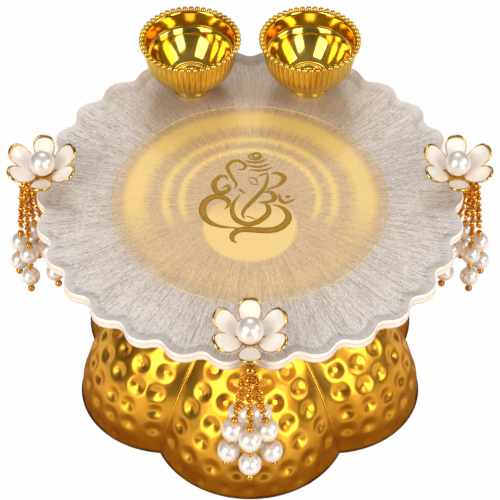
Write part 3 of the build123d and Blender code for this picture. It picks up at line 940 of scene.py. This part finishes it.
class THALI_OT_inlay(Operator):
    """Build the fibre inlay, its foil circle and its foil figure"""

    bl_idname = "thali.inlay"
    bl_label = "Build inlay"

    def execute(self, context):
        settings = context.scene.thali_plate
        self.film(settings)
        self.circle(settings)
        self.figure(settings)
        return {"FINISHED"}

    def film(self, settings):
        """The film: tucked under at its edge, down from the lip's crest, and flat to the middle."""
        inset = settings.film_inset
        climb = settings.film_climb
        crest = PLATE_HIGH.z - settings.crest_drop
        tuck = 3.6 * MM
        flat = 86 * MM
        section = [(tuck, FILM_LOW.z), (inset, crest - 1 * MM)]
        for share in np.linspace(0, 1, 9):
            height = FILM_HIGH.z + (crest - FILM_HIGH.z) * (1 - share) ** 1.3
            section.append((inset + climb * share, height))
        section += [(inset + climb + flat * share, FILM_HIGH.z) for share in np.linspace(0.04, 0.98, 16)]
        mesh = scalloped_mesh("inlay_fibres", settings, 24, section)
        add_piece(mesh, fibre_paint(settings), BODY, "fibre_film", "inlay_film")

    def circle(self, settings):
        """The thin foil circle, with sloping sides."""
        half = settings.circle_width / 2
        top = FILM_HIGH.z + settings.foil_height
        sides = ((-half, FILM_HIGH.z), (half, FILM_HIGH.z), (half * 0.6, top), (-half * 0.6, top))
        profile = [(settings.circle_radius + across, height) for across, height in sides]
        columns = 360
        faces = grid_faces(len(profile), columns, wrap_rows=True)
        mesh = new_mesh("foil_circle", turned(profile, columns), faces, 70)
        add_piece(mesh, foil_paint("bright_foil", (0.95, 0.70, 0.24)), BODY, "polished_gold")

    def figure(self, settings):
        """The foil figure: strokes that swell in their middle and taper to both ends."""
        strokes = []
        for half_width, *points in FIGURE_STROKES:
            route = smooth_path(points, 10) * MM
            share = np.linspace(0, 1, len(route))
            widths = half_width * MM * (0.10 + 0.90 * np.sin(pi * share) ** 0.75)
            strokes.append(ribbon(route, widths, FILM_HIGH.z, settings.foil_height))
        dark = foil_paint("dark_foil", tuple(settings.foil))
        add_piece(joined("foil_figure", strokes), dark, BODY, "polished_gold")


def bead_ring_tree():
    """Beads set round a circle at a height."""
    sizes = {"Count": "Int", "Ring_Radius": "Float", "Bead_Radius": "Float", "Centre": "Vector"}
    nodes, sockets = new_tree("bead_ring", **sizes, Finish="Material")
    shape = {"Vertices": sockets["Count"], "Radius": sockets["Ring Radius"]}
    ring = nodes.value("GeometryNodeMeshCircle", None, shape)
    place = {"Geometry": ring, "Translation": sockets["Centre"]}
    ring = nodes.value("GeometryNodeTransform", None, place)
    shape = {"Segments": 10, "Rings": 7, "Radius": sockets["Bead Radius"]}
    bead = nodes.value("GeometryNodeMeshUVSphere", None, shape)
    beads = nodes.value("GeometryNodeInstanceOnPoints", None, {"Points": ring, "Instance": bead})
    return close_tree(nodes, beads, sockets["Finish"])


# A cup as it is drawn, from its foot up the outside and down the inside: radius and height in millimetres
CUP_DRAWN_HEIGHT = 31.0
CUP_FOOT = (
    (0, 0.9), (8.4, 0.9), (9.0, 0.0), (10.3, 0.0), (10.6, 0.5), (10.5, 1.4), (10.1, 2.3), (10.3, 3.2),
    (11.0, 4.2), (11.5, 4.6), (11.7, 5.0), (11.5, 5.5),
)
CUP_RIBBED = (
    (12.0, 6.0), (13.6, 6.9), (15.8, 8.2), (17.9, 9.9), (19.7, 12.0), (21.0, 14.4), (21.9, 17.2),
    (22.5, 20.2), (22.9, 23.4), (23.1, 26.4), (23.1, 27.6),
)
CUP_RIM = (
    (23.0, 27.9), (23.3, 28.3), (23.4, 28.9), (23.1, 29.4), (22.7, 29.6), (22.3, 29.4), (22.0, 29.0),
)
CUP_INSIDE = (
    (21.8, 28.2), (21.4, 25.0), (21.0, 21.6), (20.3, 21.2), (20.0, 21.3), (19.6, 20.9), (18.6, 18.4),
    (16.6, 15.3), (14.2, 12.2), (11.6, 9.2), (10.4, 8.1), (9.2, 7.6), (7.8, 7.5), (7.0, 7.9),
    (6.2, 8.0), (5.5, 7.5), (3.0, 7.3), (0, 7.3),
)


def flutes(settings):
    """A ripple of round ribs with sharp grooves, fading in at both ends of the ribbed rows."""
    start = len(CUP_FOOT)
    stop = start + len(CUP_RIBBED)

    def ripple(row, turn):
        if not start <= row < stop:
            return 0.0
        fade = min(row - start + 0.4, stop - row - 0.6, 1.0)
        place = (turn * settings.flutes / tau) % 1 * 2 - 1
        return -settings.flute_depth * fade * (1 - np.sqrt(1 - (place * 0.97) ** 2))

    return ripple


class THALI_OT_cups(Operator):
    """Build the two fluted cups and their beaded rims"""

    bl_idname = "thali.cups"
    bl_label = "Build cups"

    def execute(self, context):
        settings = context.scene.thali_cups
        gold = gold_paint("cup_gold", tuple(settings.gold), 0.07, 70, 0.78)
        tree = bead_ring_tree()
        columns = settings.flutes * 10
        for side in CUP_SIDES:
            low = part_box(f"cup_{side}_bowl")[0]
            rim_low, rim_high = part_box(f"cup_{side}_bead_rim")
            centre = (rim_low + rim_high) / 2
            stretch = (rim_high.z - low.z) / CUP_DRAWN_HEIGHT
            drawn = CUP_FOOT + CUP_RIBBED + CUP_RIM + CUP_INSIDE
            profile = [(radius * MM, height * stretch) for radius, height in drawn]
            points = turned(profile, columns, flutes(settings)) + (centre.x, centre.y, low.z)
            bowl = new_mesh(f"cup_{side}_fluted", points, grid_faces(len(profile), columns), 50)
            add_piece(bowl, gold, f"cup_{side}", "cup_gold", f"cup_{side}_bowl")
            values = {"Count": settings.flutes, "Ring Radius": settings.rim_radius}
            values["Bead Radius"] = settings.bead_radius
            values["Centre"] = (centre.x, centre.y, rim_high.z - 0.9 * settings.bead_radius)
            values["Finish"] = gold
            beads = node_piece(f"cup_{side}_rim_beads", tree, bpy.data.meshes.new("rim"), values)
            add_piece(beads, gold, f"cup_{side}", "cup_gold", f"cup_{side}_bead_rim")
        return {"FINISHED"}


class PetalForm:
    """One petal along +X: an egg-shaped outline that curls up and is cupped across."""

    def __init__(self, settings, reach):
        self.settings = settings
        self.span = reach - settings.root

    def surface(self, along, across):
        """Points at shares along the petal (0 to 1) and across it (-1 to 1)."""
        settings = self.settings
        oval = np.sqrt(np.clip(1 - (2 * along - 1) ** 2, 0, 1))
        y = across * settings.half_width * oval * (0.84 + 0.28 * along)
        x = settings.root + self.span * along
        lean = np.tan(settings.pitch)
        z = self.span * along * lean + settings.curl * self.span * along**2.2
        z = z + settings.cupping * (y / settings.half_width) ** 2 - settings.cupping * 0.5
        return np.stack([x - 0.12 * self.span * along**3, y, z], axis=-1)

    def patch(self, shrink, lift, crown, rings=7, samples=60):
        """A round patch of the petal, at a lift over its surface and crowned in its middle."""
        turn = turns(samples)
        rows = []
        for ring in np.linspace(1, 0, rings):
            along = 0.5 - 0.5 * shrink * ring * np.cos(turn)
            wide = np.sqrt(np.clip(1 - (2 * along - 1) ** 2, 1e-9, 1))
            across = shrink * ring * np.sin(turn) / wide
            points = self.surface(along, np.clip(across, -1, 1))
            points[:, 2] += lift + crown * (1 - ring**4)
            rows.append(points)
        return np.array(rows)

    def slab(self, shrink, top, under):
        """A closed slab between two patches, each given by its lift and crown."""
        rows = np.concatenate([self.patch(shrink, *under)[::-1], self.patch(shrink, *top)])
        return rows, grid_faces(len(rows), rows.shape[1])[:, ::-1]

    def gold_parts(self):
        """The gold of one petal: a shell and a rim tube, thicker towards the tip."""
        edge = self.patch(1.0, 0.0, 0.0)[0]
        share = (edge[:, 0] - edge[:, 0].min()) / np.ptp(edge[:, 0])
        thickness = self.settings.rim * (1 + 3.0 * share**4)
        rim = tube(edge - (0, 0, 0.2 * MM), thickness, 8, closed=True)
        return [self.slab(1.0, (0.0, 0.0), (-0.75 * MM, -0.3 * MM)), rim]

    def enamel_parts(self):
        """The enamel of one petal: a crowned filling inside the gold rim."""
        return [self.slab(0.95, (0.12 * MM, 0.35 * MM), (-0.1 * MM, 0.0))]


def seat_profile(settings):
    """The gold cup that holds the centre pearl: a hub, a flared wall and a rolled edge."""
    pearl = settings.pearl_radius
    pairs = [(0, -1.2), (3.4, -1.2), (4.4, -0.9), (4.8, 0.1), (4.9, 0.8), (5.0, 1.2), (4.9, 1.4)]
    pairs += [(4.7, 1.4), (4.4, 1.2), (4.0, 1.0), (3.2, 0.9), (0, 0.8)]
    return [(radius * pearl / 5.9, height * MM) for radius, height in pairs]


class THALI_OT_flowers(Operator):
    """Build the three enamelled flowers with their centre pearls"""

    bl_idname = "thali.flowers"
    bl_label = "Build flowers"

    @staticmethod
    def arm_parts(settings, hub, name):
        """A flower's bracket: an arm over the lip on two posts, and a fork that holds the tassel's bar."""
        swing = JOINTS[f"tassel_{name}_swing"]
        bar = Vector(swing["pos_m"])
        along = Vector(swing["axis"])
        out = Vector((bar.x, bar.y, 0)).normalized()
        up = Vector((0, 0, 1))
        level = up * bar.z
        middle = hub.translation
        inner = middle.xy.to_3d() - out * 2 * MM + level
        outer = bar.xy.to_3d() - out * 3.4 * MM + level
        post = [middle, (middle + inner) / 2, inner - up * 0.4 * MM]
        foot = [inner, inner - level * 0.02, inner - level + up * (FILM_HIGH.z + 0.2 * MM)]
        half = along * settings.bar_half
        parts = [tube([inner, (inner + outer) / 2, outer], settings.arm_radius, 10)]
        parts += [tube(spots, settings.post_radius, 12, flat_up=(1, 0, 0)) for spots in (post, foot)]
        parts.append(tube([bar - half, bar, bar + half], settings.bar_radius, 12))
        for side in (-settings.fork_half, settings.fork_half):
            tine = [spot + along * side for spot in (outer, (bar + outer) / 2, bar)]
            parts.append(tube(tine, settings.fork_radius, 8))
        return parts

    def execute(self, context):
        settings = context.scene.thali_flowers
        gold = gold_paint("flower_gold", tuple(settings.gold), 0.12, 150, 0.70)
        enamel = enamel_paint(tuple(settings.enamel))
        pearl = pearl_paint(tuple(settings.pearl))
        side = PetalForm(settings, settings.side_reach)
        end = PetalForm(settings, settings.end_reach)
        places = [(end, pi / 2), (end, -pi / 2)]
        for turn in (settings.side_angle, -settings.side_angle):
            places += [(side, turn), (side, pi - turn)]
        profile = seat_profile(settings)
        seat = (turned(profile, 40), grid_faces(len(profile), 40))
        bead = ball(settings.pearl_radius, settings.pearl_height, 48, 30)
        lean = Matrix.Rotation(settings.tilt, 4, "X")
        for name in FLOWER_NAMES:
            low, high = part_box(f"flower_{name}_pearl")
            shift = -settings.front_out if name == "front" else settings.side_back
            centre = (low + high) / 2 + Vector((0, shift, 0))
            hub = Matrix.Translation(centre) @ lean @ Matrix.Translation((0, 0, -settings.pearl_height))
            golden = placed([seat], hub)
            white = []
            for form, turn in places:
                place = hub @ Matrix.Rotation(turn, 4, "Z")
                golden += placed(form.gold_parts(), place)
                white += placed(form.enamel_parts(), place)
            arm = self.arm_parts(settings, hub, name)
            start = f"flower_{name}"
            add_parts(f"{start}_setting", golden, gold, BODY, "polished_gold", f"{start}_petals")
            add_parts(f"{start}_petal_enamel", white, enamel, BODY, "white_enamel", f"{start}_enamel")
            add_parts(f"{start}_centre_pearl", placed([bead], hub), pearl, BODY, "pearl", f"{start}_pearl")
            add_parts(f"{start}_arm", arm, gold, BODY, "polished_gold", f"{start}_bracket")
        return {"FINISHED"}


def chain_tree():
    """Oval wire links down a line, each turned from the one above it."""
    sizes = dict.fromkeys(("Pitch", "Link_Width", "Link_Length", "Wire", "Turn"), "Float")
    nodes, sockets = new_tree("chain_links", Links="Int", **sizes, Finish="Material")
    half_width = (sockets["Link Width"] - sockets["Wire"]) * 0.5
    half_length = (sockets["Link Length"] - sockets["Wire"]) * 0.5
    oval = nodes.value("GeometryNodeCurvePrimitiveCircle", None, {"Resolution": 10, "Radius": 1.0})
    size = nodes.value("ShaderNodeCombineXYZ", None, {0: half_width, 1: half_length, 2: 1.0})
    upright = {"Geometry": oval, "Scale": size, "Rotation": (pi / 2, 0, 0)}
    oval = nodes.value("GeometryNodeTransform", None, upright)
    shape = {"Resolution": 5, "Radius": sockets["Wire"] * 0.5}
    section = nodes.value("GeometryNodeCurvePrimitiveCircle", None, shape)
    link = nodes.value("GeometryNodeCurveToMesh", None, {"Curve": oval, "Profile Curve": section})
    step = nodes.value("ShaderNodeCombineXYZ", None, {2: 0.0 - sockets["Pitch"]})
    shape = {"Count": sockets["Links"], "Start Location": (0, 0, 0), "Offset": step}
    line = nodes.value("GeometryNodeMeshLine", None, shape)
    index = nodes.value("GeometryNodeInputIndex")
    spin = nodes.value("ShaderNodeCombineXYZ", None, {2: index * sockets["Turn"]})
    repeat = {"Points": line, "Instance": link, "Rotation": spin}
    chain = nodes.value("GeometryNodeInstanceOnPoints", None, repeat)
    return close_tree(nodes, chain, sockets["Finish"])


def hanger_parts(settings, drop, stub):
    """A hanger about its ring's centre: ring, stem, an eye on the bar along Y, and chains up to the eye."""
    ring = level_row(settings.ring_radius, turns(40), 0.0)
    stem = [(0, 0, 0.2 * MM), (0, 0, 2 * MM), (0, 0, drop - 1.4 * MM)]
    parts = [tube(ring, settings.ring_wire / 2, 8, closed=True)]
    parts.append(tube(stem, settings.stem_radius, 10, flat_up=(0, 1, 0)))
    outer = settings.eye_outer
    inner = settings.eye_inner
    half = settings.eye_half
    bevel = settings.eye_bevel
    profile = [(inner, -half), (outer - bevel, -half), (outer, -half + bevel), (outer, half - bevel)]
    profile += [(outer - bevel, half), (inner, half)]
    eye = (turned(profile, 28), grid_faces(len(profile), 28, wrap_rows=True))
    parts += placed([eye], Matrix.Translation((0, 0, drop)) @ Matrix.Rotation(-pi / 2, 4, "X"))
    lean_in = atan2(settings.ring_radius - 0.8 * MM, drop)
    up = Matrix.Translation((settings.ring_radius, 0, 0)) @ Matrix.Rotation(pi - lean_in, 4, "Y")
    for strand in range(STRAND_COUNT):
        parts += placed([stub], Matrix.Rotation(strand * tau / STRAND_COUNT, 4, "Z") @ up)
    return parts


def strand_parts(settings, pearl, lift):
    """A strand below its ring: its gold beads and head pin, and its two pearls."""
    bead = settings.bead_radius
    upper = settings.upper_pearl - lift
    lower = upper + 2 * pearl + 2.8 * bead
    tip = lower + pearl + 2.0 * bead
    golden = [
        ball(bead, -(upper - pearl - 0.9 * bead), 18, 12),
        ball(bead, -(upper + lower) / 2, 18, 12),
        ball(bead * 0.72, -(lower + pearl + 0.6 * bead), 16, 10),
        ball(bead * 1.05, -tip, 18, 12),
    ]
    pin = [(0, 0, pearl + 4.5 * MM - upper), (0, 0, -lower), (0, 0, -tip)]
    golden.append(tube(pin, settings.pin_radius, 8, flat_up=(0, 1, 0)))
    white = [ball(pearl, -drop, 32, 22, hole=0.6 * MM) for drop in (upper, lower)]
    return golden, white


def hinge_place(hinge, height):
    """A frame on a hinge's axis at a height, with X outwards and Y along the axis."""
    x, y, _ = hinge["pos_m"]
    outward = atan2(hinge["axis"][0], -hinge["axis"][1])
    return Matrix.Translation((x, y, height)) @ Matrix.Rotation(outward, 4, "Z")


class THALI_OT_tassels(Operator):
    """Build the three tassels: hangers, chains, beads and pearls"""

    bl_idname = "thali.tassels"
    bl_label = "Build tassels"

    def execute(self, context):
        settings = context.scene.thali_tassels
        gold = gold_paint("chain_gold", tuple(settings.gold), 0.17, 300, 0.72)
        pearl = pearl_paint(tuple(context.scene.thali_flowers.pearl))
        values = {"Pitch": settings.link_pitch, "Link Width": settings.link_width}
        values.update({"Link Length": settings.link_length, "Wire": settings.link_wire})
        values.update({"Turn": settings.link_turn, "Finish": gold})
        tree = chain_tree()
        stub = self.chain_part(tree, {**values, "Links": settings.stub_links})
        lean = Matrix.Rotation(-settings.lean, 4, "Y")
        for name in FLOWER_NAMES:
            start = f"tassel_{name}"
            swing = JOINTS[f"tassel_{name}_swing"]
            ring_height = JOINTS[f"strand_{name}_1_swing"]["pos_m"][2]
            hanger = hanger_parts(settings, swing["pos_m"][2] - ring_height, stub)
            hanger = placed(hanger, hinge_place(swing, ring_height))
            add_parts(f"{start}_top", hanger, gold, start, "polished_gold", f"{start}_hanger")
            front = name == "front"
            lost_links = settings.front_lift * front
            radius = settings.front_pearl if front else settings.pearl_radius
            golden, white = strand_parts(settings, radius, lost_links * settings.link_pitch)
            golden.append(self.chain_part(tree, {**values, "Links": settings.links - lost_links}))
            for strand in range(1, STRAND_COUNT + 1):
                body = f"strand_{name}_{strand}"
                down = hinge_place(JOINTS[f"{body}_swing"], ring_height) @ lean
                chain = (f"{start}_strand_{strand}", placed(golden, down), gold)
                add_parts(*chain, body, "chain_gold", f"{start}_chain_{strand}")
                strung = (f"{start}_strung_{strand}", placed(white, down), pearl)
                add_parts(*strung, body, "pearl", f"{start}_pearls_{strand}")
        return {"FINISHED"}

    @staticmethod
    def chain_part(tree, values):
        """Points and faces of one run of the chain tree."""
        mesh = node_piece("chain_pattern", tree, bpy.data.meshes.new("chain"), values)
        points = np.empty(len(mesh.vertices) * 3)
        mesh.vertices.foreach_get("co", points)
        return points.reshape(-1, 3), [list(face.vertices) for face in mesh.polygons]


class THALI_OT_stage(Operator):
    """Set the camera, the pale floor, the lamps and the world"""

    bl_idname = "thali.stage"
    bl_label = "Set stage"

    def execute(self, context):
        scene = context.scene
        settings = scene.thali_stage
        scene.view_settings.view_transform = "Standard"
        self.camera(scene, settings)
        self.floor(scene, settings)
        self.lamps(scene)
        self.world(scene)
        return {"FINISHED"}

    def camera(self, scene, settings):
        lens = bpy.data.cameras.new("photo_camera")
        lens.sensor_width = 36.0
        lens.lens = settings.lens
        lens.clip_start = 0.01
        camera = bpy.data.objects.new("photo_camera", lens)
        scene.collection.objects.link(camera)
        target = Vector((0, 0, settings.target_height))
        back = Vector((0, -cos(settings.elevation), sin(settings.elevation)))
        camera.location = target + back * settings.distance
        camera.rotation_euler = (-back).to_track_quat("-Z", "Y").to_euler()
        scene.camera = camera

    def floor(self, scene, settings):
        reach = 4.0
        corners = [(-reach, -reach, 0), (reach, -reach, 0), (reach, reach, 0), (-reach, reach, 0)]
        mesh = bpy.data.meshes.new("floor")
        mesh.from_pydata(corners, [], [(0, 1, 2, 3)])
        floor = bpy.data.objects.new("floor", mesh)
        scene.collection.objects.link(floor)
        paint = Paint("pale_floor", base_color=tuple(settings.floor), roughness=0.9, specular_ior_level=0.1)
        seen = paint.add("ShaderNodeLightPath")
        white = paint.value("ShaderNodeEmission", None, {"Color": (1, 1, 1, 1), "Strength": 1.0})
        away = paint.value("ShaderNodeVectorMath", {"operation": "LENGTH"}, {0: paint.place()}, output=1)
        # What reflections see of the floor: dark brown near the foot as painted shadow and reflection of
        # the foot, turning bright farther out.
        sheen = paint.mix(away.step(0.088, 0.20), (0.32, 0.18, 0.05), (1.0, 0.93, 0.82))
        dim = paint.value("ShaderNodeEmission", None, {"Color": sheen, "Strength": 1.0})
        mirrored = Field(paint, seen.outputs["Is Glossy Ray"])
        lit = Field(paint, paint.shader.outputs[0])
        lit = paint.value("ShaderNodeMixShader", None, {0: mirrored, 1: lit, 2: dim})
        share = Field(paint, seen.outputs["Is Camera Ray"]) * 0.97
        blend = paint.value("ShaderNodeMixShader", None, {0: share, 1: lit, 2: white})
        output = next(node for node in paint.tree.nodes if node.type == "OUTPUT_MATERIAL")
        paint.feed(output.inputs["Surface"], blend)
        mesh.materials.append(paint.material)

    def lamps(self, scene):
        warm_white = (1.0, 0.965, 0.92)
        target = Vector((0, 0, 80 * MM))
        # Name, place, size and power of each soft lamp, all turned to one target
        places = (
            ("key_lamp", (-0.66, -0.62, 0.80), 0.60, 5.8),
            ("front_lamp", (0.62, -0.84, 0.70), 0.46, 3.8),
            ("fill_lamp", (0.85, -0.10, 0.60), 0.40, 2.0),
            ("back_lamp", (0.00, 0.75, 0.95), 0.60, 2.6),
            ("low_left_lamp", (-0.82, -0.80, 0.26), 0.26, 1.2),
            ("low_right_lamp", (0.74, -0.88, 0.28), 0.26, 1.2),
        )
        for name, place, size, power in places:
            light = bpy.data.lights.new(name, "AREA")
            light.energy = power
            light.size = size
            light.color = warm_white
            lamp = bpy.data.objects.new(name, light)
            lamp.location = place
            aim = target - Vector(place)
            lamp.rotation_euler = aim.to_track_quat("-Z", "Y").to_euler()
            scene.collection.objects.link(lamp)

    def world(self, scene):
        world = bpy.data.worlds.new("soft_studio")
        world.use_nodes = True
        nodes = Nodes(world.node_tree)
        sky = next(node for node in world.node_tree.nodes if node.type == "BACKGROUND")
        place = nodes.value("ShaderNodeTexCoord", output=0)
        height = nodes.value("ShaderNodeSeparateXYZ", None, {0: place}, output=2)
        seen = nodes.add("ShaderNodeLightPath")
        dome = nodes.mix(height.step(0.10, 0.85), (0.07, 0.065, 0.06), (0.42, 0.42, 0.43))
        mirrored = Field(nodes, seen.outputs["Is Glossy Ray"])
        dome = nodes.mix(mirrored * height.step(0.05, 0.30) * 0.5, dome, (0.03, 0.025, 0.02))
        tint = nodes.mix(Field(nodes, seen.outputs["Is Camera Ray"]), dome, (1, 1, 1))
        nodes.feed(sky.inputs["Color"], tint)
        scene.world = world


OPERATORS = (
    THALI_OT_stage,
    THALI_OT_foot,
    THALI_OT_plate,
    THALI_OT_inlay,
    THALI_OT_cups,
    THALI_OT_flowers,
    THALI_OT_tassels,
)
SETTINGS = {
    "thali_foot": FootSettings,
    "thali_plate": PlateSettings,
    "thali_cups": CupSettings,
    "thali_flowers": FlowerSettings,
    "thali_tassels": TasselSettings,
    "thali_stage": StageSettings,
}


class THALI_PT_panel(Panel):
    """The thali's pieces and sizes in the sidebar"""

    bl_idname = "THALI_PT_panel"
    bl_label = "Puja Thali"
    bl_space_type = "VIEW_3D"
    bl_region_type = "UI"
    bl_category = "Thali"

    def draw(self, context):
        for operator in OPERATORS:
            self.layout.operator(operator.bl_idname)
        for name, group in SETTINGS.items():
            box = self.layout.box()
            box.label(text=group.__doc__.rstrip("."))
            for key in group.__annotations__:
                box.prop(getattr(context.scene, name), key)


def register():
    """Add the settings, operators and panel."""
    for name, group in SETTINGS.items():
        bpy.utils.register_class(group)
        setattr(bpy.types.Scene, name, PointerProperty(type=group))
    for kind in (*OPERATORS, THALI_PT_panel):
        bpy.utils.register_class(kind)


def unregister():
    """Take them away again."""
    for kind in (THALI_PT_panel, *reversed(OPERATORS)):
        bpy.utils.unregister_class(kind)
    for name, group in SETTINGS.items():
        delattr(bpy.types.Scene, name)
        bpy.utils.unregister_class(group)


def main():
    """Register the add-on and build every piece in order."""
    register()
    for operator in OPERATORS:
        group, name = operator.bl_idname.split(".")
        getattr(getattr(bpy.ops, group), name)()


if __name__ == "__main__":
    main()
